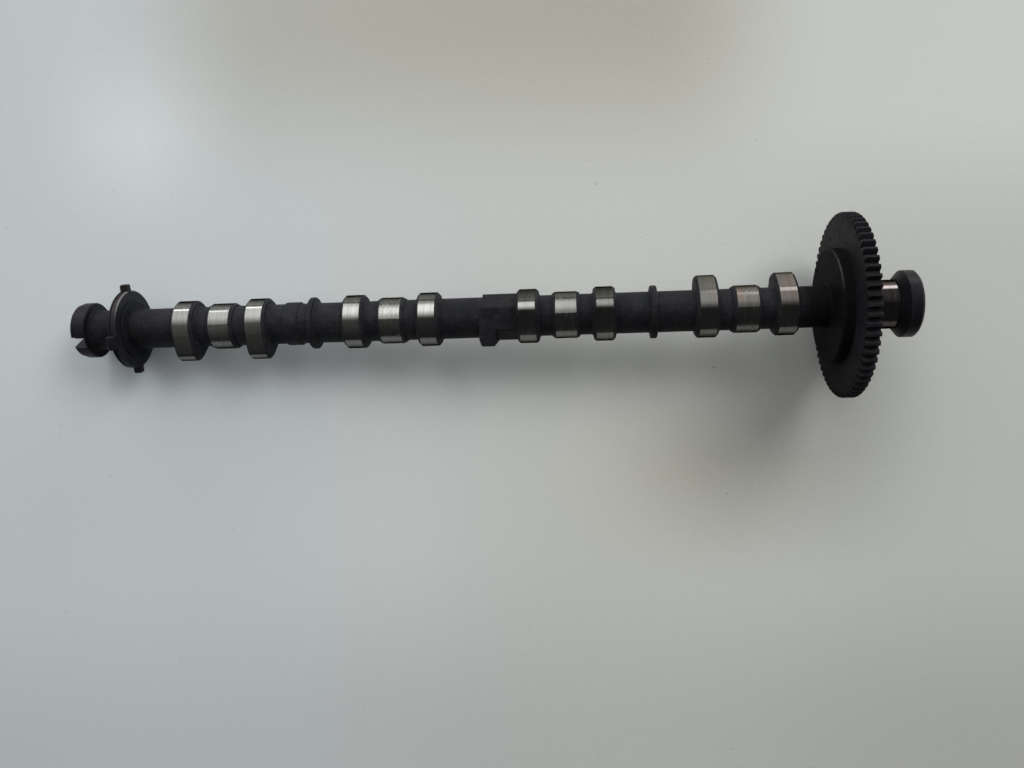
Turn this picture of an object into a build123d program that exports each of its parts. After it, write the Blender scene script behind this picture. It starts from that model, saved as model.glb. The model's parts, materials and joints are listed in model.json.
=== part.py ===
from build123d import *
import math
import os

# Camshaft of a four-cylinder engine with two valves per cylinder on this shaft.
#
# Frame: X runs along the shaft's axis, towards the front (gear) end. The front
# end face is at X = 0, so the shaft lies at X < 0. Z is up. Directions round the
# shaft are angles in degrees from +Z, turning towards -Y, which is the way the
# helper around() reads them. All sizes are millimetres.

# ---- Shaft -----------------------------------------------------------------
shaft_radius = 10.9          # as-cast body between the features
root_bevel = 0.9             # cast corner where a flange or lobe leaves the shaft
edge_chamfer = 0.5           # small turned edge break

# ---- Front end: end flange, thrust journal, gear seat ------------------------
flange_radius = 17.35
flange_thickness = 10.3
flange_chamfer = 1.3
flange_back_length = 3.5     # the flange's rear side is a cone of this length
flange_back_radius = 13.3    # radius at which the cone meets the thrust journal's end
thrust_journal_radius = 12.75
thrust_journal_length = 20.7
relief_width = 0.5           # grinding relief at each end of the thrust journal
relief_depth = 0.3
gear_seat_radius = 18.0      # larger than the end flange, so the gear passes over it
gear_shoulder_radius = 30.0  # disc that the gear is pressed against
gear_shoulder_thickness = 5.7
gear_shoulder_chamfer = 0.7

# ---- Drive gear --------------------------------------------------------------
gear_teeth = 63
gear_module = 1.5
gear_width = 7.0
gear_pressure_angle = 20.0
gear_profile_shift = -0.4    # in modules; less than 0 brings the teeth nearer to the axis
gear_backlash = 0.06         # thinning of each tooth on the pitch circle
gear_dedendum_factor = 1.25
gear_edge_chamfer = 0.8
gear_tooth_angle = -0.85     # direction of the centre of one tooth

# ---- Cam bearing journals ----------------------------------------------------
cylinders = 4
cylinder_pitch = 93.8
first_journal_setback = 54.8  # from the thrust face of the gear to the first journal
journal_radius = 12.5
journal_width = 14.7
journal_chamfer_length = 1.7
journal_chamfer_height = 0.9

# ---- Cam lobes ---------------------------------------------------------------
lobe_width = 11.6
lobe_offset = 20.2           # from a journal's centre to the lobe on each side of it
base_circle_radius = 14.5
lobe_lift = 4.4
nose_radius = 7.6
flank_radius = 70.0
lobe_chamfer = 1.3
# Nose direction of each cylinder's pair of lobes, from the front of the engine.
nose_angles = (261.0, 351.0, 171.0, 81.0)

# ---- Collars and low band ----------------------------------------------------
collar_radius = 14.05
collar_chamfer = 0.4
front_collar_width = 3.3
front_collar_offset = 46.0   # in front of the second journal
rear_collar_width = 2.8
rear_collar_offset = 43.5    # behind the third journal
band_radius = 11.75
band_width = 9.1
band_offset = 39.2           # in front of the fourth journal

# ---- Spanner hexagon and locating lug ------------------------------------------
hex_across_flats = 22.0
hex_corner_radius = 12.4     # the cast corners are rounded off at this radius
hex_length = 18.4            # from the rear face of the lobe in front of it
hex_corner_angle = 99.0      # direction of the corner that carries the lug
lug_height = 14.6            # from the axis to the lug's end
lug_width = 8.8
lug_overhang = 1.7           # how far the lug reaches behind the hexagon
lug_slope = 0.9              # how far the lug's rear side leans in over its height
lug_chamfer = 0.8

# ---- Sensor ring ---------------------------------------------------------------
ring_radius = 21.6
ring_thickness = 4.2
ring_setback = 54.6          # from the fourth journal's centre to the ring's centre
ring_chamfer = 0.6
ring_groove_setback = 1.1    # from the ring's rear face to its rim groove
ring_groove_width = 0.8
ring_groove_depth = 0.5
ring_tooth_radius = 25.0
# Each tooth of the ring: its direction and how many degrees it spans.
ring_tooth_angles = ((285.5, 8.0), (23.0, 16.0), (105.5, 8.0))
ring_seat_radius = 16.0      # larger than the drive head, so the ring passes over it
ring_seat_margin = 1.0       # how far the seat shows on each side of the ring

# ---- Slotted drive head at the rear end ------------------------------------------
rear_end_setback = 82.3      # from the fourth journal's centre to the rear end
head_length = 8.5
head_radius = 15.25
head_step_length = 3.1
head_step_radius = 14.4
head_chamfer = 0.6
slot_width = 6.0
slot_depth = 8.0
slot_angle = 32.0            # direction along which the slot runs

# ---- Centre holes ----------------------------------------------------------------
centre_hole_radius = 2.5
centre_hole_depth = 14.0
centre_cone_radius = 5.0
centre_cone_half_angle = 30.0

# ---- Cutters ---------------------------------------------------------------------
cutter_margin = 1.0          # how far a cutter or a blank reaches past what it meets

# ---- Gear radii and stations along the shaft, worked out from the sizes above ------
gear_pitch_radius = gear_module * gear_teeth / 2
gear_tip_radius = gear_pitch_radius + (1 + gear_profile_shift) * gear_module
gear_root_radius = gear_pitch_radius - (gear_dedendum_factor - gear_profile_shift) * gear_module
flange_rear_x = -flange_thickness
thrust_face_x = flange_rear_x - thrust_journal_length
gear_rear_x = thrust_face_x - gear_width
shoulder_rear_x = gear_rear_x - gear_shoulder_thickness
journal_xs = [
    thrust_face_x - first_journal_setback - index * cylinder_pitch
    for index in range(cylinders)
]
last_journal_x = journal_xs[-1]
ring_x = last_journal_x - ring_setback
rear_end_x = last_journal_x - rear_end_setback
head_front_x = rear_end_x + head_length
hex_front_x = journal_xs[1] - lobe_offset - lobe_width / 2
hex_rear_x = hex_front_x - hex_length
lug_rear_x = hex_rear_x - lug_overhang


def around(angle):
    """Unit vector across the shaft at an angle from +Z, turning towards -Y."""
    turn = math.radians(angle)
    return Vector(0, -math.sin(turn), math.cos(turn))


def cross_plane(x, angle=0.0):
    """Plane across the shaft at x, facing the front, with its own +X along around(angle)."""
    return Plane(origin=(x, 0, 0), x_dir=around(angle), z_dir=(1, 0, 0))


def turned(outline):
    """Solid of revolution about the shaft's axis from (x, radius) corners."""
    corners = [Vector(x, 0, radius) for x, radius in outline]
    face = Face(Wire(Polyline(*corners, close=True).edges()))
    return revolve(face, Axis.X, 360)


def disc(rear_x, front_x, radius, chamfer_length=0.0, chamfer_height=None):
    """Turned disc with the same chamfer on both edges."""
    if chamfer_height is None:
        chamfer_height = chamfer_length
    if not chamfer_length:
        return turned([(rear_x, 0), (rear_x, radius), (front_x, radius), (front_x, 0)])
    low = radius - chamfer_height
    return turned([
        (rear_x, 0),
        (rear_x, low),
        (rear_x + chamfer_length, radius),
        (front_x - chamfer_length, radius),
        (front_x, low),
        (front_x, 0),
    ])


def centred_disc(x, width, radius, chamfer_length, chamfer_height=None):
    """Turned disc about a station x."""
    return disc(x - width / 2, x + width / 2, radius, chamfer_length, chamfer_height)


def root(x, towards, radius=shaft_radius):
    """Bevelled cast corner on the shaft at face x, spreading towards +1 or -1 along X."""
    inside = radius - root_bevel
    high = radius + root_bevel
    far_x = x + towards * root_bevel
    back_x = x - towards * root_bevel
    return turned([
        (back_x, inside),
        (back_x, high),
        (x, high),
        (far_x, radius),
        (far_x, inside),
    ])


def cam_profile():
    """Lobe outline with the nose along the plane's own +X: base circle, two flanks and nose."""
    nose_distance = base_circle_radius + lobe_lift - nose_radius
    # The flank arc touches the base circle and the nose circle from inside, so its
    # centre is this far from each of theirs.
    from_base = flank_radius - base_circle_radius
    from_nose = flank_radius - nose_radius
    along = (from_base ** 2 - from_nose ** 2 + nose_distance ** 2) / (2 * nose_distance)
    side = math.sqrt(from_base ** 2 - along ** 2)
    flank_centre = Vector(along, -side)
    nose_centre = Vector(nose_distance, 0)
    on_base = flank_centre * (-base_circle_radius / from_base)
    on_nose = nose_centre + (nose_centre - flank_centre) * (nose_radius / from_nose)
    middle_way = (on_base - flank_centre) + (on_nose - flank_centre)
    on_flank = flank_centre + middle_way.normalized() * flank_radius

    def mirrored(point):
        return Vector(point.X, -point.Y)

    nose_tip = Vector(base_circle_radius + lobe_lift, 0)
    heel = Vector(-base_circle_radius, 0)
    edges = [
        ThreePointArc(on_base, on_flank, on_nose),
        ThreePointArc(on_nose, nose_tip, mirrored(on_nose)),
        ThreePointArc(mirrored(on_nose), mirrored(on_flank), mirrored(on_base)),
        ThreePointArc(mirrored(on_base), heel, on_base),
    ]
    return Face(Wire([edge for piece in edges for edge in piece.edges()]))


def lobe(x, nose_angle):
    """One cam lobe about station x, with a chamfer round both of its edges."""
    profile = cross_plane(x - lobe_width / 2, nose_angle) * cam_profile()
    blank = extrude(profile, lobe_width, dir=(1, 0, 0))
    ends = blank.faces().filter_by(Axis.X)
    rims = [edge for end in ends for edge in end.edges()]
    return chamfer(rims, lobe_chamfer)


def hexagon_with_lug():
    """Spanner hexagon behind the second cylinder's rear lobe, with a flat-ended lug on one corner."""
    half = hex_across_flats / 2
    corner_first = RegularPolygon(half, 6, major_radius=False)
    prism = extrude(
        cross_plane(hex_rear_x, hex_corner_angle) * corner_first, hex_length, dir=(1, 0, 0)
    )
    prism = prism & disc(hex_rear_x, hex_front_x, hex_corner_radius)
    outline = Polyline(
        (0, 0),
        (shaft_radius, 0),
        (lug_height - lug_chamfer, lug_slope),
        (lug_height, lug_slope + lug_chamfer),
        (lug_height, lug_width - lug_chamfer),
        (lug_height - lug_chamfer, lug_width),
        (0, lug_width),
        close=True,
    )
    side_plane = Plane(
        origin=(lug_rear_x, 0, 0),
        x_dir=around(hex_corner_angle),
        z_dir=around(hex_corner_angle - 90),
    )
    lug = extrude(side_plane * Face(Wire(outline.edges())), half, both=True)
    return prism + lug


def centre_hole(x, inward):
    """Drill point and 60-degree cone of a lathe centre in an end face at x."""
    cone_depth = (centre_cone_radius - centre_hole_radius) / math.tan(
        math.radians(centre_cone_half_angle)
    )
    return turned([
        (x, 0),
        (x, centre_cone_radius),
        (x + inward * cone_depth, centre_hole_radius),
        (x + inward * centre_hole_depth, centre_hole_radius),
        (x + inward * (centre_hole_depth + centre_hole_radius / 2), 0),
    ])


def drive_slot():
    """Cutter for the slot across the rear end."""
    reach = 2 * (head_radius + cutter_margin)
    plane = cross_plane(rear_end_x, slot_angle)
    return extrude(plane * Rectangle(reach, slot_width), slot_depth)


def front_end():
    """End flange, thrust journal with its reliefs, gear seat and gear shoulder."""
    relief_radius = thrust_journal_radius - relief_depth
    flange_low = flange_radius - flange_chamfer
    seat_low = gear_seat_radius - edge_chamfer
    shoulder_low = gear_shoulder_radius - gear_shoulder_chamfer
    return turned([
        (0, 0),
        (0, flange_low),
        (-flange_chamfer, flange_radius),
        (flange_rear_x + flange_back_length, flange_radius),
        (flange_rear_x, flange_back_radius),
        (flange_rear_x, relief_radius),
        (flange_rear_x - relief_width, relief_radius),
        (flange_rear_x - relief_width - relief_depth, thrust_journal_radius),
        (thrust_face_x + relief_width + relief_depth, thrust_journal_radius),
        (thrust_face_x + relief_width, relief_radius),
        (thrust_face_x, relief_radius),
        (thrust_face_x, seat_low),
        (thrust_face_x - edge_chamfer, gear_seat_radius),
        (gear_rear_x, gear_seat_radius),
        (gear_rear_x, gear_shoulder_radius),
        (shoulder_rear_x + gear_shoulder_chamfer, gear_shoulder_radius),
        (shoulder_rear_x, shoulder_low),
        (shoulder_rear_x, 0),
    ])


def rear_end():
    """Drive head, with its smaller outer step, and the seat of the sensor ring."""
    seat_half = ring_thickness / 2 + ring_seat_margin
    step_x = rear_end_x + head_step_length
    head = turned([
        (rear_end_x, 0),
        (rear_end_x, head_step_radius - head_chamfer),
        (rear_end_x + head_chamfer, head_step_radius),
        (step_x, head_step_radius),
        (step_x, head_radius),
        (head_front_x - edge_chamfer, head_radius),
        (head_front_x, head_radius - edge_chamfer),
        (head_front_x, 0),
    ])
    seat = disc(ring_x - seat_half, ring_x + seat_half, ring_seat_radius, edge_chamfer)
    return head + seat


def camshaft():
    """The cast shaft with everything that is in one piece with it."""
    rear_bar = disc(rear_end_x + head_step_length, hex_rear_x, shaft_radius)
    front_bar = disc(hex_front_x, shoulder_rear_x + edge_chamfer, shaft_radius)
    solid = rear_bar + front_bar + hexagon_with_lug() + front_end() + rear_end()
    stations = [(head_front_x, 1), (shoulder_rear_x, -1)]
    features = []
    for x, nose_angle in zip(journal_xs, nose_angles):
        features.append(
            centred_disc(x, journal_width, journal_radius,
                         journal_chamfer_length, journal_chamfer_height)
        )
        for lobe_x in (x + lobe_offset, x - lobe_offset):
            features.append(lobe(lobe_x, nose_angle))
            stations.append((lobe_x + lobe_width / 2, 1))
            if abs(lobe_x - lobe_width / 2 - hex_front_x) > root_bevel:
                stations.append((lobe_x - lobe_width / 2, -1))
    collars = (
        (journal_xs[1] + front_collar_offset, front_collar_width),
        (journal_xs[2] - rear_collar_offset, rear_collar_width),
    )
    for x, width in collars:
        features.append(centred_disc(x, width, collar_radius, collar_chamfer))
        stations.append((x + width / 2, 1))
        stations.append((x - width / 2, -1))
    band_x = last_journal_x + band_offset
    features.append(
        centred_disc(band_x, band_width, band_radius, band_radius - shaft_radius)
    )
    for feature in features:
        solid = solid + feature
    for x, towards in stations:
        solid = solid + root(x, towards)
    return solid - drive_slot() - centre_hole(0, -1) - centre_hole(rear_end_x, 1)


def gear_outline():
    """Closed outline of the spur gear: involute flanks, tip and root arcs."""
    pressure_angle = math.radians(gear_pressure_angle)
    base_radius = gear_pitch_radius * math.cos(pressure_angle)

    def involute(radius):
        """Angle by which an involute has left its start on the base circle."""
        unwound = math.sqrt(max((radius / base_radius) ** 2 - 1, 0))
        return unwound - math.atan(unwound)

    pitch_half_tooth = (
        (math.pi / 2 + 2 * gear_profile_shift * math.tan(pressure_angle)) / gear_teeth
        - gear_backlash / 2 / gear_pitch_radius
    )

    def half_tooth(radius):
        """Half the angle that a tooth spans at a radius."""
        return pitch_half_tooth + involute(gear_pitch_radius) - involute(radius)

    flank_start = max(gear_root_radius, base_radius)
    flank_steps = 4
    flank_radii = [
        flank_start + (gear_tip_radius - flank_start) * step / flank_steps
        for step in range(flank_steps + 1)
    ]

    def point(radius, angle):
        return Vector(radius * math.cos(angle), radius * math.sin(angle))

    pitch_angle = 2 * math.pi / gear_teeth
    edges = []
    for tooth in range(gear_teeth):
        middle = tooth * pitch_angle
        rising = [point(radius, middle - half_tooth(radius)) for radius in flank_radii]
        falling = [point(radius, middle + half_tooth(radius)) for radius in reversed(flank_radii)]
        root_from = point(gear_root_radius, middle + half_tooth(gear_root_radius))
        root_middle = point(gear_root_radius, middle + pitch_angle / 2)
        root_to = point(gear_root_radius, middle + pitch_angle - half_tooth(gear_root_radius))
        edges += Spline(*rising).edges()
        edges += ThreePointArc(rising[-1], point(gear_tip_radius, middle), falling[0]).edges()
        edges += Spline(*falling).edges()
        if gear_root_radius < base_radius:
            edges += Line(falling[-1], root_from).edges()
        edges += ThreePointArc(root_from, root_middle, root_to).edges()
        if gear_root_radius < base_radius:
            next_start = point(flank_start, middle + pitch_angle - half_tooth(flank_start))
            edges += Line(root_to, next_start).edges()
    return Wire(edges)


def drive_gear():
    """Spur gear, pressed onto its seat and against the shoulder."""
    blank = extrude(
        cross_plane(gear_rear_x, gear_tooth_angle) * Face(gear_outline()), gear_width
    )
    envelope = disc(gear_rear_x, thrust_face_x, gear_tip_radius, gear_edge_chamfer)
    return (blank & envelope) - disc(gear_rear_x, thrust_face_x, gear_seat_radius)


def sensor_ring():
    """Ring with three uneven teeth, pressed onto its seat."""
    rear_x = ring_x - ring_thickness / 2
    front_x = ring_x + ring_thickness / 2
    groove_rear_x = rear_x + ring_groove_setback
    groove_front_x = groove_rear_x + ring_groove_width
    ring = disc(rear_x, front_x, ring_radius, ring_chamfer)
    ring = ring - (
        disc(groove_rear_x, groove_front_x, ring_tooth_radius)
        - disc(groove_rear_x, groove_front_x, ring_radius - ring_groove_depth)
    )
    envelope = disc(rear_x, front_x, ring_tooth_radius, ring_chamfer)
    blank_height = ring_tooth_radius - ring_seat_radius + 2 * cutter_margin
    blank_middle = (ring_tooth_radius + ring_seat_radius) / 2
    for angle, span in ring_tooth_angles:
        tooth_width = 2 * ring_tooth_radius * math.sin(math.radians(span / 2))
        plane = cross_plane(rear_x, angle) * Pos(blank_middle, 0)
        tooth = extrude(plane * Rectangle(blank_height, tooth_width), ring_thickness)
        ring = ring + (tooth & envelope)
    return ring - disc(rear_x, front_x, ring_seat_radius)


parts = {
    "camshaft": camshaft,
    "drive_gear": drive_gear,
    "sensor_ring": sensor_ring,
}

os.makedirs("parts", exist_ok=True)
for name, build in parts.items():
    export_step(build(), os.path.join("parts", name + ".step"))
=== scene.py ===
import json
import math
from functools import cached_property

import bpy
from bpy.props import FloatProperty, FloatVectorProperty, PointerProperty
from mathutils import Matrix, Vector


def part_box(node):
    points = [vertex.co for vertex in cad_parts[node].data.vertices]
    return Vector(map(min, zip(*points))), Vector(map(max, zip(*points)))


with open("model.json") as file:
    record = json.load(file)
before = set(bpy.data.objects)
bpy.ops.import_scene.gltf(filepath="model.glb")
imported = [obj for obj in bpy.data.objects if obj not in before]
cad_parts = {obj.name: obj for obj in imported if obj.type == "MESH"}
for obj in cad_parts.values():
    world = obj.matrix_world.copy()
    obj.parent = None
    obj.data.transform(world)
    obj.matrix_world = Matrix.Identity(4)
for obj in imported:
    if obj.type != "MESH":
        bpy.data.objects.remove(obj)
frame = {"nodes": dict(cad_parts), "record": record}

bl_info = {
    "name": "Camshaft looks",
    "version": (1, 0, 0),
    "blender": (4, 5, 0),
    "location": "View3D > Sidebar > Camshaft",
    "description": "Finishes for a cast camshaft with its gear and sensor ring, on a studio table",
    "category": "Object",
}

# The frame: X along the shaft with the front end face at X = 0, Z up, in metres.
# Materials read Object coordinates, which are turned into millimetres first.
MM = 0.001
MOUNTS = {mount["name"]: mount for mount in frame["record"]["mounts"]}
SHAFT = frame["nodes"]["camshaft"]
GEAR = frame["nodes"]["drive_gear"]
RING = frame["nodes"]["sensor_ring"]
SHAFT_REAR, SHAFT_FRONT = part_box("camshaft")
GEAR_REAR, GEAR_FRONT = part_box("drive_gear")
RING_REAR, RING_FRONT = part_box("sensor_ring")


def mount_x(name):
    """Place of a mount along the shaft, in metres."""
    return MOUNTS[name]["pos_m"][0]


def mount_radius(name):
    """Radius that a mount states, in metres."""
    return MOUNTS[name]["dims"]["r_mm"] * MM


FIRST_JOURNAL_X = mount_x("cam_journal_1")
LAST_JOURNAL_X = mount_x("cam_journal_4")
CYLINDER_PITCH = (FIRST_JOURNAL_X - LAST_JOURNAL_X) / 3
HEAD_X = mount_x("rear_drive_slot")


# ---- Settings ----------------------------------------------------------------


def colour(name, description, default):
    """Colour property with its values as they are shaded, in linear light."""
    return FloatVectorProperty(
        name=name, description=description, default=default,
        subtype="COLOR", size=3, min=0.0, max=1.0,
    )


def length(name, description, default):
    """Length property in metres."""
    return FloatProperty(
        name=name, description=description, default=default, unit="LENGTH", min=0.0,
    )


def distance(name, description, default):
    """Place along an axis in metres, on either side of 0."""
    return FloatProperty(name=name, description=description, default=default, unit="LENGTH")


def factor(name, description, default):
    """Share between 0 and 1."""
    return FloatProperty(
        name=name, description=description, default=default,
        subtype="FACTOR", min=0.0, max=1.0,
    )


def brightness(name, description, default):
    """Brightness of something that gives light."""
    return FloatProperty(name=name, description=description, default=default, min=0.0)


class CamshaftSettings(bpy.types.PropertyGroup):
    """Ground, turned and cast zones of the shaft."""

    lobe_offset: length("Lobe offset", "From a journal to the lobe on each side of it", 20.2 * MM)
    lobe_band: length("Ground lobe width", "Width of a lobe between its chamfers", 8.7 * MM)
    journal_band: length(
        "Ground journal width", "Width of a journal between its chamfers", 11.0 * MM
    )
    lobe_low_radius: length("Lobe radius", "Radius past which a lobe is ground", 14.1 * MM)
    cast_colour: colour("Cast iron", "Oil-dark cast skin", (0.0082, 0.0088, 0.0118))
    cast_light_colour: colour(
        "Cast iron, worn", "Rubbed spots of the cast skin", (0.025, 0.0245, 0.027)
    )
    stain_colour: colour(
        "Cast iron, stained", "Brown oil stains on the cast skin", (0.017, 0.0135, 0.013)
    )
    oily_colour: colour(
        "Oiled shoulder", "Oil-black shoulder and neck behind the gear", (0.0064, 0.0057, 0.0064)
    )
    # Colour of the painted highlight on the shoulder's upper edge.
    edge_highlight_colour: colour("Wiped edge", "Edge of the shoulder, wiped of oil", (0.055, 0.05, 0.055))
    rough_start: distance(
        "Rough cast start", "Rear end of the stretch left rough by the mould", -247.4 * MM
    )
    rough_end: distance(
        "Rough cast end", "Front end of the stretch left rough by the mould", -225.7 * MM
    )
    ground_colour: colour("Ground iron", "Ground lobes and journals", (0.275, 0.275, 0.262))
    # Painted warm reflection: a tan tint on the window side of the front cylinder's bands.
    warm_reflection_colour: colour(
        "Oil varnish", "Warm film on the front cylinder's bands", (0.35, 0.255, 0.215)
    )
    thrust_colour: colour(
        "Thrust journal", "Dark polished journal at the front", (0.17, 0.145, 0.145)
    )
    turned_colour: colour("Turned iron", "Turned flange and drive head", (0.0205, 0.019, 0.0228))
    pit_colour: colour("Pits", "Small pits and score marks", (0.02, 0.018, 0.016))
    ground_roughness: factor("Ground roughness", "Roughness of the ground bands", 0.13)
    cast_roughness: factor("Cast roughness", "Roughness of the cast skin", 0.6)


class GearSettings(bpy.types.PropertyGroup):
    """Finish of the drive gear."""

    steel_colour: colour("Oiled steel", "Dark oiled steel of the gear", (0.0105, 0.0095, 0.0115))
    # Worn tips and bevels, lighter mostly on the lit +Y side as a painted highlight.
    worn_and_lit_colour: colour("Worn steel", "Rubbed tooth tips and edges", (0.035, 0.035, 0.037))
    film_colour: colour("Oil film", "Brown film of old oil", (0.018, 0.0162, 0.0192))
    streak_colour: colour("Wiped streaks", "Thin streaks wiped in the film", (0.024, 0.022, 0.023))
    roughness: factor("Roughness", "Roughness of the oiled steel", 0.55)


class RingSettings(bpy.types.PropertyGroup):
    """Finish of the sensor ring."""

    face_colour: colour("Ring faces", "Dark faces of the ring", (0.0125, 0.0127, 0.017))
    # Rim tint and chamfer highlight show mostly on the lit +Y side as painted light.
    rim_colour: colour("Ring rim", "Brown heat tint of the rim", (0.05, 0.0385, 0.0385))
    chamfer_highlight_colour: colour("Ring edge", "Bare chamfer of the rim", (0.2, 0.19, 0.19))
    roughness: factor("Roughness", "Roughness of the ring", 0.45)


class StageSettings(bpy.types.PropertyGroup):
    """Table, light and camera."""

    table_colour: colour("Table", "Colour of the table top", (0.53, 0.535, 0.525))
    table_size: length("Table size", "Side of the square table top", 6.0)
    window_strength: brightness(
        "Window", "Brightness of the window that the metal mirrors", 2.1
    )
    wall_strength: brightness("Wall", "Brightness of the wall beside the window", 1.15)
    key_strength: brightness("Key", "Brightness of the key lamp's face", 7.0)
    fill_strength: brightness("Fill", "Brightness of the overhead fill lamp's face", 0.7)
    focal_length: FloatProperty(
        name="Focal length", description="Focal length of the camera, in millimetres",
        default=29.65, min=1.0,
    )


# ---- Shader expressions --------------------------------------------------------


class Shade:
    """A socket of a node tree. Arithmetic on it adds Math nodes."""

    def __init__(self, tree, socket=None):
        self.tree = tree
        self.socket = socket

    def node(self, kind, settings=None, inputs=None, output=0):
        """Any node: its settings are set first, then its sockets get values or links."""
        made = self.tree.nodes.new(kind)
        for name, value in (settings or {}).items():
            setattr(made, name, value)
        for name, value in (inputs or {}).items():
            if isinstance(value, Shade):
                self.tree.links.new(value.socket, made.inputs[name])
            else:
                made.inputs[name].default_value = value
        return Shade(self.tree, made.outputs[output]) if made.outputs else None

    def math(self, operation, *values):
        """Result of a Math node."""
        return self.node("ShaderNodeMath", {"operation": operation}, dict(enumerate(values)))

    def __add__(self, other):
        return self.math("ADD", self, other)

    def __radd__(self, other):
        return self.math("ADD", other, self)

    def __sub__(self, other):
        return self.math("SUBTRACT", self, other)

    def __rsub__(self, other):
        return self.math("SUBTRACT", other, self)

    def __mul__(self, other):
        return self.math("MULTIPLY", self, other)

    def __pow__(self, other):
        return self.math("POWER", self, other)

    def __abs__(self):
        return self.math("ABSOLUTE", self)

    def between(self, low, high, past=0):
        """0 below low, 1 above high, and a smooth step between, with both counted from past."""
        return self.node(
            "ShaderNodeMapRange", {"interpolation_type": "SMOOTHSTEP"},
            {"Value": self, "From Min": past + low, "From Max": past + high},
        )

    def inside(self, middle, half_width, softness):
        """1 where the value is within half_width of middle, fading out over softness."""
        return 1 - abs(self - middle).between(half_width - softness / 2, half_width + softness / 2)

    def either(self, other):
        """The larger of two numbers."""
        return self.math("MAXIMUM", self, other)

    def part(self, axis):
        """One part of this vector."""
        return self.node("ShaderNodeSeparateXYZ", None, {"Vector": self}, axis)

    def stretched(self, across):
        """The vector scaled across the shaft, and kept along it."""
        return self.node(
            "ShaderNodeVectorMath", {"operation": "MULTIPLY"}, {0: self, 1: (1.0, across, across)},
        )

    def as_vector(self):
        """A vector with this number as its X."""
        return self.node("ShaderNodeCombineXYZ", None, {"X": self})

    def noise(self, cells, detail, roughness):
        """Noise between 0 and 1 at so many cells per unit of this vector."""
        return self.node(
            "ShaderNodeTexNoise", None,
            {"Vector": self, "Scale": cells, "Detail": detail, "Roughness": roughness}, "Fac",
        )

    def tinted(self, low_colour, high_colour):
        """Colour between two others, by this factor."""
        return self.node(
            "ShaderNodeMix", {"data_type": "RGBA"},
            {0: self, 6: as_colour(low_colour), 7: as_colour(high_colour)}, 2,
        )

    def blended(self, low, high):
        """Number between two others, by this factor."""
        return self.node("ShaderNodeMix", None, {0: self, 2: low, 3: high})

    def scaled(self, size):
        """The colour or vector times a number."""
        return self.node(
            "ShaderNodeVectorMath", {"operation": "SCALE"}, {0: self, "Scale": size},
        )

    def bumped(self, strength=1.0):
        """Normal of a height given in millimetres."""
        return self.node(
            "ShaderNodeBump", None, {"Height": self, "Strength": strength, "Distance": MM},
        )


def as_colour(value):
    """Four numbers for a colour socket, or the link itself."""
    return value if isinstance(value, Shade) else (*value, 1.0)


class Surface(Shade):
    """Node tree of one material, with the place on the piece in millimetres."""

    def __init__(self, name):
        self.material = bpy.data.materials.new(name)
        self.material.use_nodes = True
        super().__init__(self.material.node_tree)
        self.tree.nodes.clear()
        self.place = self.node("ShaderNodeTexCoord", output="Object").scaled(1 / MM)
        self.y = self.place.part("Y")

    @cached_property
    def x(self):
        """Place along the shaft."""
        return self.place.part("X")

    @cached_property
    def radius(self):
        """Distance from the shaft's axis."""
        z = self.place.part("Z")
        return (self.y * self.y + z * z) ** 0.5

    @cached_property
    def facing(self):
        """How far the surface faces along the shaft: 1 on an end face, 0 on a cylinder."""
        return abs(self.node("ShaderNodeNewGeometry", output="Normal").part("X"))

    def shader(self, base, roughness, metallic, normal, specular=0.5, edge_tint=1.0):
        """Principled shader from what varies over the piece."""
        return self.node(
            "ShaderNodeBsdfPrincipled", None,
            {
                "Base Color": as_colour(base),
                "Roughness": roughness,
                "Metallic": metallic,
                "Specular IOR Level": specular,
                "Specular Tint": (edge_tint, edge_tint, edge_tint, 1.0),
                "Normal": normal,
            },
        )

    def mixed(self, share, first, second):
        """The second shader where the share is 1, and the first elsewhere."""
        return self.node("ShaderNodeMixShader", None, {0: share, 1: first, 2: second})

    def finish(self, shader):
        """The material, with this shader on its surface."""
        self.node("ShaderNodeOutputMaterial", None, {"Surface": shader})
        return self.material


def dress(piece, material):
    """Give a piece one material on all of its faces."""
    piece.data.materials.clear()
    piece.data.materials.append(material)


# ---- Finishes --------------------------------------------------------------------
# Places, radii and heights are in millimetres. A pair of numbers is a step: where it starts and
# where it is complete. Three numbers for a patch are its middle, half width and softness, and for
# a noise they are cells per millimetre, detail and roughness. A share is a part of 1.

# Zones of the shaft. Steps at a lobe, journal, shoulder, head or ring are counted from there.
RAGGED_NOISE, RAGGED_EDGE = (0.9, 3.0, 0.7), 0.5
CYLINDERS_SOFTNESS, LOBE_SOFTNESS, JOURNAL_SOFTNESS = 0.1, 0.16, 0.2
LOBE_SURFACE = (-0.1, 0.0)
JOURNAL_SURFACE, JOURNAL_TOP = (-0.25, -0.15), (0.3, 0.4)
END_FACE = (0.3, 0.5)                # how far a surface faces along the shaft
THRUST_RELIEF, THRUST_TOP = 0.8, (13.0, 13.2)
SHOULDER_REAR, SHOULDER_FRONT = (-5.9, -5.8), (-0.1, 0.0)
HEAD_FRONT = (8.6, 8.8)
ABOVE_NECK = (11.9, 12.6)
SEAT_HALF, SEAT_SOFTNESS = 4.2, 0.4
MOULD_EDGE = (-0.5, 0.5)
OILY_NECK = (-24, -15)

# Cast skin.
SAND_GRAIN, CAST_LUMPS, FINE_GRAIN = (0.85, 4.0, 0.7), (0.17, 3.0, 0.55), (3.4, 2.0, 0.6)
STAIN_NOISE = (0.26, 3.0, 0.65)
RUBBED_GRAIN, RUBBED_LUMPS, RUBBED = 0.7, 0.4, (0.5, 0.78)
STAINED, STAIN_SHARE = (0.5, 0.68), 0.75
DRY_REAR, RING_SHADE_STEP, DRY_PALER = (-330, -180), (2, 24), 0.35
CAST_ROUGH_SWING = 0.4
GRAIN_HEIGHT, FINE_HEIGHT, LUMP_HEIGHT, MOULD_HEIGHT_GAIN = 0.17, 0.035, 0.4, 1.6
CAST_SPECULAR = 0.12

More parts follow.
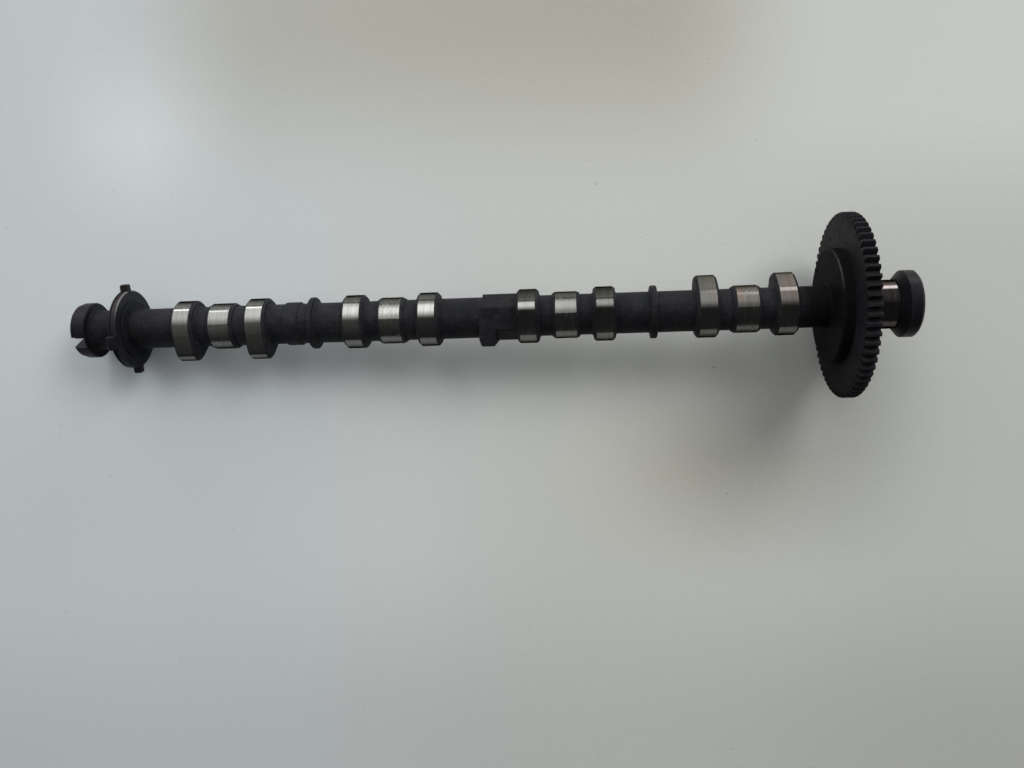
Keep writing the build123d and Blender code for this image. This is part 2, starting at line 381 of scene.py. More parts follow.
# Ground bands. The first number of a mark scales its noise round the shaft: the smaller it is, the
# further the mark runs round.
GRIND_RINGS = 0.03, (3.2, 3.0, 0.7)
GRIND_BANDS = 0.02, (0.55, 2.0, 0.6)
SMEARS = 0.25, (0.7, 3.0, 0.6)
SCORES = 0.012, (1.7, 1.0, 0.4)
SCORED = (0.66, 0.74)
PIT_NOISE, PITTED, PIT_SHARE = (1.1, 2.0, 0.5), (0.7, 0.75), 0.7
PITTED_HALF, PITTED_SOFTNESS, PITTED_SIDE, PITTED_MORE = 8, 1, (-9, -5), 0.1
FRONT_CYLINDER = (-27, -12)
# Painted warm reflection on the window side of the front cylinder's bands.
WARM_REFLECTION_SIDE, WARM_REFLECTION_SHARE = (-1, 5), 0.12
WARM_REFLECTION_LUMPS, WARM_REFLECTION_LUMP_SHARE = (0.4, 0.6), 0.45
WARM_REFLECTION_SMEARS, WARM_REFLECTION_SMEAR_SHARE = (0.4, 0.7), 0.3
BAND_TONES, DULL_TONE, CLEAR_TONE = (0.3, 0.7), (0.72, 0.71, 0.70), (1.0, 1.0, 1.0)
SCORE_SHARE, MARKS_SHARE, MARKS_FRONT_SHARE = 0.45, 0.35, 0.65
GRIND_ROUGH_SWING, SMEAR_ROUGH_SWING, MARK_ROUGHER = 0.16, 0.18, 0.3
JOURNAL_ROUGHER, JOURNAL_SMEARS, JOURNAL_SMEAR_ROUGHER = 0.06, (0.45, 0.65), 0.08
GRIND_HEIGHT, MARK_DEPTH = 0.012, 0.02
GROUND_SPECULAR, GROUND_EDGE_TINT = 0.5, 0.05
THRUST_DARKER, THRUST_ROUGHNESS, THRUST_ROUGH_SWING = 0.7, 0.13, 0.08

# Turned faces.
TOOL_STRETCH, TOOL_NOISE, TOOL_FACE = 0.04, (2.6, 2.0, 0.6), (0.4, 0.6)
TURNED_TOOL, TURNED_LUMPS, TURNED_TONES, TURNED_DARKER = 0.6, 0.5, (0.3, 0.8), 0.45
TURNED_ROUGHNESS, TURNED_ROUGH_SWING, TURNED_HEIGHT, TURNED_METAL = 0.42, 0.2, 0.03, 0.4

# Oiled shoulder and neck, and a painted highlight on the shoulder's upper edge.
OIL_NOISE, OIL_TONES, OIL_SHARE = (0.3, 3.0, 0.65), (0.45, 0.8), 0.4
HIGHLIGHT_SLANT, HIGHLIGHT_SIDE = (0.7, 0.2, 0.1), (17, 9, 10)
HIGHLIGHT_EDGE, HIGHLIGHT_GRAIN = (29, 29.2), (0.3, 0.6)
OILY_ROUGHNESS, OILY_ROUGH_SWING, OILY_HEIGHT = 0.55, 0.5, 0.05
OILY_SPECULAR, OILY_EDGE_TINT = 0.02, 0.5


def band_zones(surface, sizes):
    """The shaft's ground lobes and journals, and its journals alone."""
    x, radius = surface.x, surface.radius
    # Along each cylinder, from its own journal.
    pitch = CYLINDER_PITCH / MM
    from_journal = surface.math("WRAP", x - FIRST_JOURNAL_X / MM, pitch / 2, -pitch / 2)
    reach = (CYLINDER_PITCH - sizes.lobe_offset) / MM / 2
    middle = (FIRST_JOURNAL_X + LAST_JOURNAL_X) / MM / 2
    half_run = (FIRST_JOURNAL_X - LAST_JOURNAL_X) / MM / 2 + reach
    cylinders = x.inside(middle, half_run, CYLINDERS_SOFTNESS)
    ragged = (surface.place.noise(*RAGGED_NOISE) - 0.5) * RAGGED_EDGE
    lobes = (abs(from_journal) + ragged).inside(
        sizes.lobe_offset / MM, sizes.lobe_band / MM / 2, LOBE_SOFTNESS
    )
    lobes = lobes * radius.between(*LOBE_SURFACE, sizes.lobe_low_radius / MM)
    journal_radius = mount_radius("cam_journal_1") / MM
    journals = (from_journal + ragged).inside(0, sizes.journal_band / MM / 2, JOURNAL_SOFTNESS)
    journals = journals * radius.between(*JOURNAL_SURFACE, journal_radius)
    journals = journals * (1 - radius.between(*JOURNAL_TOP, journal_radius))
    side = 1 - surface.facing.between(*END_FACE)
    return lobes.either(journals) * cylinders * side, journals


def cast_skin(surface, sizes, grain, lumps):
    """Colour, roughness and height of sand grain on low lumps, rubbed lighter, with stains."""
    place, x = surface.place, surface.x
    mould = x.between(*MOULD_EDGE, sizes.rough_start / MM)
    mould = mould * (1 - x.between(*MOULD_EDGE, sizes.rough_end / MM))
    rubbed = (grain * RUBBED_GRAIN + lumps * RUBBED_LUMPS).between(*RUBBED)
    stained = place.noise(*STAIN_NOISE).between(*STAINED)
    base = rubbed.tinted(sizes.cast_colour, sizes.cast_light_colour)
    base = (stained * STAIN_SHARE).tinted(base, sizes.stain_colour)
    # The rear half is drier and paler than the oily front half; next to the ring it is kept dark
    # as painted shade.
    dry_outside_ring_shade = (1 - x.between(*DRY_REAR)) * x.between(*RING_SHADE_STEP, RING_FRONT.x / MM)
    base = base.scaled(1 + dry_outside_ring_shade * DRY_PALER)
    rough = sizes.cast_roughness + (grain - 0.5) * CAST_ROUGH_SWING
    height = grain * GRAIN_HEIGHT + place.noise(*FINE_GRAIN) * FINE_HEIGHT
    height = height * (1 + mould * MOULD_HEIGHT_GAIN) + lumps * LUMP_HEIGHT
    return base, rough, height


def ground_metal(surface, sizes, journals, thrust, lumps):
    """Shader of the ground bands and the thrust journal: fine rings, scores, pits and a painted
    warm reflection on the front cylinder's window side.
    """
    place, x, y = surface.place, surface.x, surface.y
    rings, bands, smears, scores = (
        place.stretched(across).noise(*noise)
        for across, noise in (GRIND_RINGS, GRIND_BANDS, SMEARS, SCORES)
    )
    scores = scores.between(*SCORED)
    front_cylinder = x.between(*FRONT_CYLINDER, FIRST_JOURNAL_X / MM)
    pitted = x.inside(FIRST_JOURNAL_X / MM, PITTED_HALF, PITTED_SOFTNESS)
    pitted = pitted * (1 - y.between(*PITTED_SIDE)) * PITTED_MORE
    pits = (place.noise(*PIT_NOISE) + pitted).between(*PITTED) * PIT_SHARE
    # Painted warm reflection: tan tint on the +Y side of the front cylinder's bands, patchy with
    # lumps and smears.
    warm_reflection_tint = front_cylinder * y.between(*WARM_REFLECTION_SIDE) * (
        WARM_REFLECTION_SHARE + lumps.between(*WARM_REFLECTION_LUMPS) * WARM_REFLECTION_LUMP_SHARE
        + smears.between(*WARM_REFLECTION_SMEARS) * WARM_REFLECTION_SMEAR_SHARE
    )
    tones = (bands * 0.5 + rings * 0.5).between(*BAND_TONES)
    base = surface.node(
        "ShaderNodeMix", {"data_type": "RGBA", "blend_type": "MULTIPLY"},
        {
            0: 1.0, 6: warm_reflection_tint.tinted(sizes.ground_colour, sizes.warm_reflection_colour),
            7: tones.tinted(DULL_TONE, CLEAR_TONE),
        }, 2,
    )
    marks = (scores * SCORE_SHARE).either(pits)
    marks = marks * (MARKS_SHARE + front_cylinder * MARKS_FRONT_SHARE)
    base = marks.tinted(base, sizes.pit_colour)
    journal_smears = smears.between(*JOURNAL_SMEARS) * JOURNAL_SMEAR_ROUGHER
    rough = (
        sizes.ground_roughness + (rings - 0.5) * GRIND_ROUGH_SWING
        + (smears - 0.5) * SMEAR_ROUGH_SWING
        + journals * (JOURNAL_ROUGHER + journal_smears) + marks * MARK_ROUGHER
    )
    # The thrust journal has the same rings, and is dark and more polished.
    dark = tuple(THRUST_DARKER * part for part in sizes.thrust_colour)
    return surface.shader(
        thrust.tinted(base, tones.tinted(dark, sizes.thrust_colour)),
        thrust.blended(rough, THRUST_ROUGHNESS + (rings - 0.5) * THRUST_ROUGH_SWING),
        1.0, (rings * GRIND_HEIGHT - marks * MARK_DEPTH).bumped(),
        GROUND_SPECULAR, GROUND_EDGE_TINT,
    )


def camshaft_finish(sizes):
    """Cast skin with ground lobes and journals, a polished thrust journal and turned ends."""
    surface = Surface("camshaft_iron")
    place, x, radius, end_face = surface.place, surface.x, surface.radius, surface.facing
    grain, lumps = place.noise(*SAND_GRAIN), place.noise(*CAST_LUMPS)

    ground, journals = band_zones(surface, sizes)
    thrust_half = MOUNTS["thrust_journal"]["dims"]["length_mm"] / 2 - THRUST_RELIEF
    thrust = x.inside(mount_x("thrust_journal") / MM, thrust_half, JOURNAL_SOFTNESS)
    thrust = thrust * (1 - radius.between(*THRUST_TOP))
    metal = ground_metal(surface, sizes, journals, thrust, lumps)

    # Turned faces: tool rings by radius on end faces and by X on cylinders.
    shoulder_x = GEAR_REAR.x / MM
    turned = x.between(*SHOULDER_FRONT, shoulder_x).either(
        1 - x.between(*HEAD_FRONT, HEAD_X / MM)
    )
    tool = end_face.between(*TOOL_FACE).blended(
        place.stretched(TOOL_STRETCH).noise(*TOOL_NOISE), radius.as_vector().noise(*TOOL_NOISE)
    )
    turned_colour = (tool * TURNED_TOOL + lumps * TURNED_LUMPS).between(*TURNED_TONES).tinted(
        tuple(TURNED_DARKER * part for part in sizes.turned_colour), sizes.turned_colour
    )
    turned_rough = TURNED_ROUGHNESS + (tool - 0.5) * TURNED_ROUGH_SWING
    turned_rough = turned_rough + (lumps - 0.5) * TURNED_ROUGH_SWING
    turned_height = tool * TURNED_HEIGHT + grain * TURNED_HEIGHT

    cast, cast_rough, cast_height = cast_skin(surface, sizes, grain, lumps)
    seat = x.inside((RING_REAR.x + RING_FRONT.x) / 2 / MM, SEAT_HALF, SEAT_SOFTNESS)
    seat = seat * radius.between(*ABOVE_NECK)
    skin = surface.shader(
        seat.tinted(turned.tinted(cast, turned_colour), sizes.cast_colour),
        turned.blended(cast_rough, turned_rough), turned * TURNED_METAL,
        turned.blended(cast_height, turned_height).bumped(), CAST_SPECULAR,
    )

    # Shoulder behind the gear and the neck next to it: black with oil, with a painted highlight
    # along the shoulder's upper edge.
    shoulder = x.between(*SHOULDER_REAR, shoulder_x) * (1 - x.between(*SHOULDER_FRONT, shoulder_x))
    shoulder = shoulder * radius.between(*ABOVE_NECK)
    oily_zone = shoulder.either(x.between(*OILY_NECK, shoulder_x) * (1 - turned))
    # Painted highlight: a thin light arc on the shoulder's chamfer, on the lit +Y side only.
    edge = shoulder * end_face.inside(*HIGHLIGHT_SLANT) * surface.y.inside(*HIGHLIGHT_SIDE)
    edge = edge * radius.between(*HIGHLIGHT_EDGE) * grain.between(*HIGHLIGHT_GRAIN)
    oil = place.noise(*OIL_NOISE)
    stained = (oil.between(*OIL_TONES) * OIL_SHARE).tinted(sizes.oily_colour, sizes.stain_colour)
    oily = surface.shader(
        edge.tinted(stained, sizes.edge_highlight_colour),
        OILY_ROUGHNESS + (oil - 0.5) * OILY_ROUGH_SWING, 0.0,
        (grain * OILY_HEIGHT).bumped(), OILY_SPECULAR, OILY_EDGE_TINT,
    )
    return surface.finish(
        surface.mixed(ground.either(thrust), surface.mixed(oily_zone, skin, oily), metal)
    )


# Gear. Steps at the tooth tips are counted from the tips' own radius.
GEAR_FILM, GEAR_GRAIN, GEAR_TOOL = (0.2, 4.0, 0.65), (1.4, 3.0, 0.6), (1.6, 2.0, 0.6)
GEAR_MOTTLE, GEAR_WIPES = (0.55, 3.0, 0.7), (0.11, 2.0, 0.55)
CRUST_AND_SHADE_SIDE, CRUST_RAGGED = (-4, 12), 14
TIP_SURFACE, TIP_GRAIN, TIP_GAIN, TIP_SHARE = (-0.5, -0.1), (0.38, 0.62), 1.1, 0.55
BEVEL_SLANT, BEVEL_SHARE, SHADED_SIDE_COVER = (0.7, 0.12, 0.1), 0.7, 0.85
GAP_FACE, GAP_TOP, GAP_SHARE = (0.2, 0.4), (-0.6, -0.3), 0.8
PATCHES, PATCH_SHARE = (0.42, 0.6), 0.8
WIPE_LINE, WIPE_FILM, WIPE_SHARE = (0.004, 0.03), (0.45, 0.7), 0.45
GEAR_ROUGH_SWING, CRUST_ROUGHER = 0.6, 0.12
GEAR_METAL, WORN_METAL = 0.1, 0.4
GEAR_TOOL_HEIGHT, MOTTLE_HEIGHT, GEAR_GRAIN_HEIGHT, CRUST_HEIGHT = 0.02, 0.08, 0.04, 0.12
GEAR_SPECULAR, GEAR_EDGE_TINT = 0.08, 0.3


def gear_finish(settings):
    """Dark oiled steel; tooth tips and bevels worn lighter on the lit +Y side as a painted
    highlight, and caked with oil and dust on the other side, where painted shade hides the wear.
    """
    surface = Surface("oiled_gear_steel")
    place, radius, end_face = surface.place, surface.radius, surface.facing
    tip_radius = GEAR_FRONT.y / MM
    film, grain, mottle = (
        place.noise(*noise) for noise in (GEAR_FILM, GEAR_GRAIN, GEAR_MOTTLE)
    )
    # The lit +Y side shows worn tips and bevels as a painted highlight; the other side is caked
    # with oil and dust, rougher, and painted darker as shade.
    crust_and_shade = 1 - (surface.y + (film - 0.5) * CRUST_RAGGED).between(*CRUST_AND_SHADE_SIDE)
    tips = radius.between(*TIP_SURFACE, tip_radius) * grain.between(*TIP_GRAIN) * TIP_GAIN
    worn = (tips * TIP_SHARE).either(end_face.inside(*BEVEL_SLANT) * BEVEL_SHARE)
    # Painted shade: the shaded side loses the worn highlight.
    worn = worn * (1 - crust_and_shade * SHADED_SIDE_COVER)
    base = worn.tinted(settings.steel_colour, settings.worn_and_lit_colour)
    gaps = (1 - end_face.between(*GAP_FACE)) * (1 - radius.between(*GAP_TOP, tip_radius))
    patches = (film * 0.5 + mottle * 0.5).between(*PATCHES)
    dirt = (patches * PATCH_SHARE).either(gaps * GAP_SHARE)
    base = dirt.tinted(base, settings.film_colour)
    # Wiped streaks on the web.
    wiped = 1 - abs(place.noise(*GEAR_WIPES) - 0.5).between(*WIPE_LINE)
    wiped = wiped * film.between(*WIPE_FILM)
    base = (wiped * WIPE_SHARE).tinted(base, settings.streak_colour)
    rough = settings.roughness + (film - 0.5) * GEAR_ROUGH_SWING
    rough = rough + (mottle - 0.5) * GEAR_ROUGH_SWING + crust_and_shade * CRUST_ROUGHER
    height = (
        radius.as_vector().noise(*GEAR_TOOL) * GEAR_TOOL_HEIGHT * end_face
        + mottle * MOTTLE_HEIGHT + grain * (GEAR_GRAIN_HEIGHT + crust_and_shade * CRUST_HEIGHT)
    )
    return surface.finish(surface.shader(
        base, rough, GEAR_METAL + worn * WORN_METAL, height.bumped(),
        GEAR_SPECULAR, GEAR_EDGE_TINT,
    ))


# Sensor ring. The rim's tint and the chamfer's highlight are painted mostly on the lit +Y side.
RING_GRAIN, RING_SMEARS = (1.8, 3.0, 0.6), (0.3, (0.8, 2.0, 0.6))
LIT_SIDE_STEP, LIT_SIDE_RAGGED = (2, 15), 6
RIM_SURFACE, RIM_SHADED_SIDE, RIM_LIT_SIDE = (20.0, 20.4), 0.12, 0.88
RIM_SHARE, RIM_SMEAR_SHARE, RIM_METAL = 0.55, 0.5, 0.5
CHAMFER_SLANT, CHAMFER_PLACE, CHAMFER_TOP = (0.7, 0.2, 0.1), (-0.8, -0.7), (22, 22.4)
CHAMFER_SHADED_SIDE, CHAMFER_LIT_SIDE = 0.08, 0.92
CHAMFER_SHARE, CHAMFER_GRAIN_SHARE = 0.5, 0.5
RING_METAL, RING_ROUGH_GRAIN = 0.15, 0.25
RING_GRAIN_HEIGHT, RING_SMEAR_HEIGHT = 0.04, 0.02
RING_SPECULAR, RING_EDGE_TINT = 0.2, 0.5


def ring_finish(settings):
    """Dark steel ring with a brown heat tint on its rim, shown mostly on the lit +Y side as
    painted sheen, and a painted highlight on its front chamfer.
    """
    surface = Surface("ring_heat_tinted_steel")
    place, radius, end_face = surface.place, surface.radius, surface.facing
    grain = place.noise(*RING_GRAIN)
    across, noise = RING_SMEARS
    smears = place.stretched(across).noise(*noise)
    # Painted light: the rim tint and the chamfer highlight fade out away from the lit +Y side.
    lit_side = (surface.y + (smears - 0.5) * LIT_SIDE_RAGGED).between(*LIT_SIDE_STEP)
    rim = (1 - end_face.between(*END_FACE)) * radius.between(*RIM_SURFACE)
    rim = rim * (RIM_SHADED_SIDE + lit_side * RIM_LIT_SIDE)
    chamfer = end_face.inside(*CHAMFER_SLANT)
    chamfer = chamfer * surface.x.between(*CHAMFER_PLACE, RING_FRONT.x / MM)
    chamfer = chamfer * (CHAMFER_SHADED_SIDE + lit_side * CHAMFER_LIT_SIDE)
    chamfer = chamfer * (1 - radius.between(*CHAMFER_TOP))
    base = (rim * (RIM_SHARE + smears * RIM_SMEAR_SHARE)).tinted(
        settings.face_colour, settings.rim_colour
    )
    base = (chamfer * (CHAMFER_SHARE + grain * CHAMFER_GRAIN_SHARE)).tinted(
        base, settings.chamfer_highlight_colour
    )
    return surface.finish(surface.shader(
        base, settings.roughness + (grain - 0.5) * RING_ROUGH_GRAIN, RING_METAL + rim * RIM_METAL,
        (grain * RING_GRAIN_HEIGHT + smears * RING_SMEAR_HEIGHT).bumped(),
        RING_SPECULAR, RING_EDGE_TINT,
    ))


# Table top: soft patches along X and Y, and how much paler or duller each makes it.
TABLE_BROAD, TABLE_GRAIN, TABLE_SPECKS = (0.004, 2.0, 0.5), (0.35, 3.0, 0.6), (0.42, 1.0, 0.5)
REAR_X, REAR_PALER = (-440, -150), 0.11
FAR_Y, FAR_X, FAR_DULLER = (60, 185), (-240, 165, 110), 0.28
# Painted glare near two of the table's corners.
CORNER_REAR_X, CORNER_FRONT_X, CORNER_FRONT_SHARE = (-425, 30, 90), (-110, -50), 0.15
CORNER_Y, GLARE_PALER = (115, 30, 90), 0.24
NEAR_Y, NEAR_DULLER = (-250, -130), 0.14
FRONT_X, FRONT_Y, FRONT_DULLER = (-170, 60), (30, 120), 0.11
# Painted shadow next to the gear.
SHADE_X, SHADE_Y, PAINTED_SHADOW_DARKER = (-75, 60, 110), (-80, 40, 90), 0.3
MIDDLE_X, MIDDLE_Y, MIDDLE_PALER = (-290, 60, 140), (-120, 50, 110), 0.09
PLAIN_TONE, BROAD_SWING = 0.93, 0.06
PLAIN_WARMTH, FAR_WARMER, REAR_COOLER = 0.42, 0.6, 0.42
WARM_X, WARM_Y, PATCH_WARMER = (-110, 60, 160), (-90, 30, 120), 0.5
WARM_SHIFT, COOL_SHIFT = (1.05, 1.0, 0.86), (0.95, 1.01, 1.07)
GRAIN_SWING, GRAIN_SHARE, GRAIN_TONE = 0.1, 0.05, (0.7, 0.7, 0.68)
SPECKS, SPECK_SHARE, SPECK_COLOUR = (0.8, 0.83), 0.5, (0.12, 0.11, 0.1)
TABLE_ROUGHNESS, TABLE_ROUGH_SWING, TABLE_BUMP, TABLE_SPECULAR = 0.5, 0.08, 0.1, 0.25


def table_finish(settings):
    """Pale table top with broad uneven tone, painted glare, a painted shadow next to the gear,
    faint grain and a few specks.
    """
    surface = Surface("pale_table")
    place, x, y = surface.place, surface.x, surface.y
    broad, grain = place.noise(*TABLE_BROAD), place.noise(*TABLE_GRAIN)
    specks = place.noise(*TABLE_SPECKS).between(*SPECKS)
    # The top is paler and cooler at its rear end, and warmer and duller past the middle.
    rear = 1 - x.between(*REAR_X)
    far = y.between(*FAR_Y) * x.inside(*FAR_X)
    # Painted glare: two pale patches where the table mirrors the window.
    front_painted_glare = x.between(*CORNER_FRONT_X) * CORNER_FRONT_SHARE
    painted_glare = x.inside(*CORNER_REAR_X).either(front_painted_glare) * y.inside(*CORNER_Y)
    near = 1 - y.between(*NEAR_Y)
    front = x.between(*FRONT_X) * (1 - y.between(*FRONT_Y))
    # Painted shadow of the gear: a broad dark patch next to it.
    shade = x.inside(*SHADE_X) * y.inside(*SHADE_Y)
    middle = x.inside(*MIDDLE_X) * y.inside(*MIDDLE_Y)
    tone = (
        PLAIN_TONE + rear * REAR_PALER - far * FAR_DULLER + painted_glare * GLARE_PALER
        - near * NEAR_DULLER - front * FRONT_DULLER - shade * PAINTED_SHADOW_DARKER
        + middle * MIDDLE_PALER + (broad - 0.5) * BROAD_SWING
    )
    warm_patch = x.inside(*WARM_X) * y.inside(*WARM_Y)
    warmth = PLAIN_WARMTH + far * FAR_WARMER + warm_patch * PATCH_WARMER - rear * REAR_COOLER
    warm, cool = (
        tuple(part * shift for part, shift in zip(settings.table_colour, shifts))
        for shifts in (WARM_SHIFT, COOL_SHIFT)
    )
    base = warmth.tinted(cool, warm).scaled(tone)
    base = ((grain - 0.5) * GRAIN_SWING + GRAIN_SHARE).tinted(base, GRAIN_TONE)
    base = (specks * SPECK_SHARE).tinted(base, SPECK_COLOUR)
    rough = TABLE_ROUGHNESS + (grain - 0.5) * TABLE_ROUGH_SWING
    return surface.finish(
        surface.shader(base, rough, 0.0, grain.bumped(TABLE_BUMP), TABLE_SPECULAR)
    )


# ---- Stage -------------------------------------------------------------------------
# Lamps: place from the middle of the shaft, side of the square face, and colour.
KEY_PLACE, KEY_SIDE, KEY_COLOUR = (0.8, 0.7, 1.03), 0.7, (1.0, 0.995, 0.975)
FILL_PLACE, FILL_SIDE, FILL_COLOUR = (0.0, 0.2, 1.6), 1.6, (0.97, 0.99, 1.0)

# Room, in degrees sideways along the shaft towards its front end, and in degrees up from the
# horizon on the window's side, where 90 is overhead.
WINDOW_REAR, WINDOW_FRONT = (-30, -10), (-8, 2)
WALL_STEP, WALL_STEP_LOSS = (6, 10), 0.46
WALL_END, WALL_END_LOSS = (15.5, 18.5), 0.88
SILL, SILL_SLANT_X, SILL_SLANT, WINDOW_TOP = (2, 28), (-10.5, 3.5, 4), 9, (48, 90)
STRIP_HEIGHT, STRIP_STRENGTH = (12, 4.5, 3), 0.15
STRIP_REAR, STRIP_REAR_STRENGTH = (-19, -15), 4.0
STRIP_MIDDLE, STRIP_MIDDLE_STRENGTH = (-10.4, 1.5, 1), 1.0
FRONT_STRIP_HEIGHT, FRONT_STRIP_STRENGTH = (11, 9, 6), 1.3
FRONT_STRIP_START, FRONT_STRIP_END = (8.5, 10.5), (15, 17)
LOW_LAMP_HEIGHT, LOW_LAMP_START, LOW_LAMP_STRENGTH = (6, 9, 6), (16, 17.5), 6.0
DIM_STRENGTH, OVERHEAD_STRENGTH = 0.038, 0.22
OVERHEAD_END, OVERHEAD_FRONT = (75, 175), (-26, -4)
ROOM_COLOUR, SURROUND_COLOUR = (0.985, 1.0, 1.0, 1.0), (0.5, 0.505, 0.5, 1.0)

# Camera: its place, and the directions to its right and behind it.
CAMERA_PLACE = (-0.1734, -0.0363, 0.4530)
CAMERA_RIGHT, CAMERA_BACK = (0.99645, -0.02649, -0.07993), (0.07996, 0.0, 0.99680)
SENSOR_WIDTH, NEAREST_SEEN = 36.0, 0.01


def table_slope():
    """Slope of the table that the gear and the sensor ring rest on, along the shaft."""
    return math.atan2(RING_REAR.z - GEAR_REAR.z, GEAR_REAR.x - RING_REAR.x)


def make_table(settings):
    """Table top under the gear's rear edge and the ring's rear edge."""
    bpy.ops.mesh.primitive_grid_add(x_subdivisions=4, y_subdivisions=4, size=settings.table_size)
    table = bpy.context.object
    table.name = "table_top"
    touch = Vector((GEAR_REAR.x, 0.0, GEAR_REAR.z))
    tilt = Matrix.Rotation(table_slope(), 4, "Y")
    table.data.transform(Matrix.Translation(touch) @ tilt)
    dress(table, table_finish(settings))


def make_lamp(name, place, side, strength, tint):
    """Soft square lamp that shines on the middle of the shaft, and that no metal mirrors."""
    middle = Vector(((SHAFT_REAR.x + SHAFT_FRONT.x) / 2, 0.0, 0.0))
    place = middle + Vector(place)
    bpy.ops.object.light_add(type="AREA", location=place)
    lamp = bpy.context.object
    lamp.name = name
    lamp.rotation_mode = "QUATERNION"
    lamp.rotation_quaternion = (middle - place).to_track_quat("-Z", "Y")
    lamp.data.shape = "SQUARE"
    lamp.data.size = side
    lamp.data.energy = strength * math.pi * side * side
    lamp.data.color = tint
    lamp.visible_glossy = False
    lamp.visible_camera = False


def make_world(settings):
    """Dim room with a soft window on the +Y side, low bright strips and a pale surround."""
    world = bpy.data.worlds.new("room")
    world.use_nodes = True
    world.node_tree.nodes.clear()
    room = Shade(world.node_tree)
    direction = room.node("ShaderNodeTexCoord", output="Generated")
    along, towards, up = (direction.part(axis) for axis in "XYZ")
    sideways = room.math("ARCSINE", along) * (180 / math.pi)
    height = room.math("ARCTAN2", up, towards) * (180 / math.pi)
    window = sideways.between(*WINDOW_REAR) * (1 - sideways.between(*WINDOW_FRONT))
    wall = (1 - sideways.between(*WALL_STEP) * WALL_STEP_LOSS) * (
        1 - sideways.between(*WALL_END) * WALL_END_LOSS
    )
    slant = sideways.inside(*SILL_SLANT_X) * SILL_SLANT
    seen = (height - slant).between(*SILL) * (1 - height.between(*WINDOW_TOP))
    strip = height.inside(*STRIP_HEIGHT) * (
        STRIP_STRENGTH + (1 - sideways.between(*STRIP_REAR)) * STRIP_REAR_STRENGTH
        + sideways.inside(*STRIP_MIDDLE) * STRIP_MIDDLE_STRENGTH
    )
    strip = strip + height.inside(*FRONT_STRIP_HEIGHT) * sideways.between(*FRONT_STRIP_START) * (
        FRONT_STRIP_STRENGTH - sideways.between(*FRONT_STRIP_END) * FRONT_STRIP_STRENGTH
    )
    low_lamp = height.inside(*LOW_LAMP_HEIGHT) * sideways.between(*LOW_LAMP_START)
    overhead = (1 - height.between(*OVERHEAD_END)) * (1 - sideways.between(*OVERHEAD_FRONT))
    tone = (
        DIM_STRENGTH + overhead * OVERHEAD_STRENGTH
        + seen * (window * settings.window_strength + wall * settings.wall_strength)
        + strip + low_lamp * LOW_LAMP_STRENGTH
    )
    camera_ray = room.node("ShaderNodeLightPath", output="Is Camera Ray")
    surround = room.node("ShaderNodeBackground", None, {"Color": SURROUND_COLOUR})
    light = room.node("ShaderNodeBackground", None, {"Strength": tone, "Color": ROOM_COLOUR})
    background = room.node("ShaderNodeMixShader", None, {0: camera_ray, 1: light, 2: surround})
    room.node("ShaderNodeOutputWorld", None, {"Surface": background})
    bpy.context.scene.world = world


def make_camera(settings):
    """Camera above the shaft, looking almost straight down."""
    right, back = Vector(CAMERA_RIGHT).normalized(), Vector(CAMERA_BACK).normalized()
    up = back.cross(right).normalized()
    right = up.cross(back)
    data = bpy.data.cameras.new("camera")
    data.sensor_width = SENSOR_WIDTH
    data.lens = settings.focal_length
    data.clip_start = NEAREST_SEEN
    camera = bpy.data.objects.new("camera", data)
    bpy.context.scene.collection.objects.link(camera)
    camera.rotation_mode = "QUATERNION"
    camera.rotation_quaternion = Matrix((right, up, back)).transposed().to_quaternion()
    camera.location = CAMERA_PLACE
    bpy.context.scene.camera = camera


# ---- Operators -----------------------------------------------------------------------


class CAMSHAFT_OT_shaft(bpy.types.Operator):
    """Give the shaft its cast, ground, turned and polished finishes"""

    bl_idname = "camshaft.dress_shaft"
    bl_label = "Dress shaft"

    def execute(self, context):
        dress(SHAFT, camshaft_finish(context.scene.camshaft_shaft))
        return {"FINISHED"}


class CAMSHAFT_OT_gear(bpy.types.Operator):
    """Give the drive gear its oiled steel finish"""

    bl_idname = "camshaft.dress_gear"
    bl_label = "Dress drive gear"

    def execute(self, context):
        dress(GEAR, gear_finish(context.scene.camshaft_gear))
        return {"FINISHED"}


class CAMSHAFT_OT_ring(bpy.types.Operator):
    """Give the sensor ring its heat-tinted steel finish"""

    bl_idname = "camshaft.dress_ring"
    bl_label = "Dress sensor ring"

    def execute(self, context):
        dress(RING, ring_finish(context.scene.camshaft_ring))
        return {"FINISHED"}


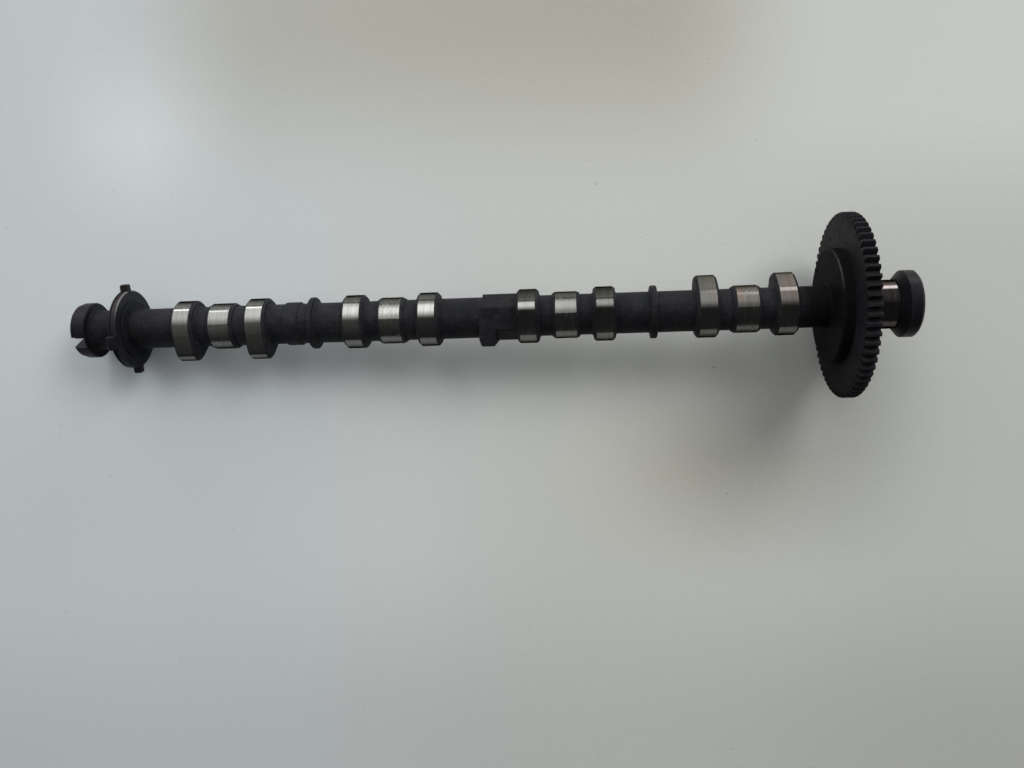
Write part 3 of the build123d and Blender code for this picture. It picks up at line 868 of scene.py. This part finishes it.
class CAMSHAFT_OT_stage(bpy.types.Operator):
    """Build the table, the lamps, the room and the camera"""

    bl_idname = "camshaft.build_stage"
    bl_label = "Build stage"

    def execute(self, context):
        settings = context.scene.camshaft_stage
        bpy.ops.object.select_all(action="DESELECT")
        make_table(settings)
        make_lamp("key", KEY_PLACE, KEY_SIDE, settings.key_strength, KEY_COLOUR)
        make_lamp("fill", FILL_PLACE, FILL_SIDE, settings.fill_strength, FILL_COLOUR)
        make_world(settings)
        make_camera(settings)
        context.scene.view_settings.view_transform = "Standard"
        return {"FINISHED"}


class CAMSHAFT_PT_looks(bpy.types.Panel):
    """Sidebar panel with the settings and the steps"""

    bl_label = "Camshaft"
    bl_idname = "CAMSHAFT_PT_looks"
    bl_space_type = "VIEW_3D"
    bl_region_type = "UI"
    bl_category = "Camshaft"

    def draw(self, context):
        for group, step in STEPS:
            box = self.layout.box()
            settings = getattr(context.scene, group)
            for name in settings.bl_rna.properties.keys():
                if name not in {"rna_type", "name"}:
                    box.prop(settings, name)
            box.operator(step)


GROUPS = {
    "camshaft_shaft": CamshaftSettings,
    "camshaft_gear": GearSettings,
    "camshaft_ring": RingSettings,
    "camshaft_stage": StageSettings,
}
STEPS = (
    ("camshaft_shaft", "camshaft.dress_shaft"),
    ("camshaft_gear", "camshaft.dress_gear"),
    ("camshaft_ring", "camshaft.dress_ring"),
    ("camshaft_stage", "camshaft.build_stage"),
)
CLASSES = (
    *GROUPS.values(),
    CAMSHAFT_OT_shaft,
    CAMSHAFT_OT_gear,
    CAMSHAFT_OT_ring,
    CAMSHAFT_OT_stage,
    CAMSHAFT_PT_looks,
)


def register():
    for cls in CLASSES:
        bpy.utils.register_class(cls)
    for name, group in GROUPS.items():
        setattr(bpy.types.Scene, name, PointerProperty(type=group))


def unregister():
    for name in GROUPS:
        delattr(bpy.types.Scene, name)
    for cls in reversed(CLASSES):
        bpy.utils.unregister_class(cls)


def main():
    """Dress the part and build the stage."""
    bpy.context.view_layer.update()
    register()
    bpy.ops.camshaft.dress_shaft()
    bpy.ops.camshaft.dress_gear()
    bpy.ops.camshaft.dress_ring()
    bpy.ops.camshaft.build_stage()
    bpy.context.view_layer.update()


if __name__ == "__main__":
    main()
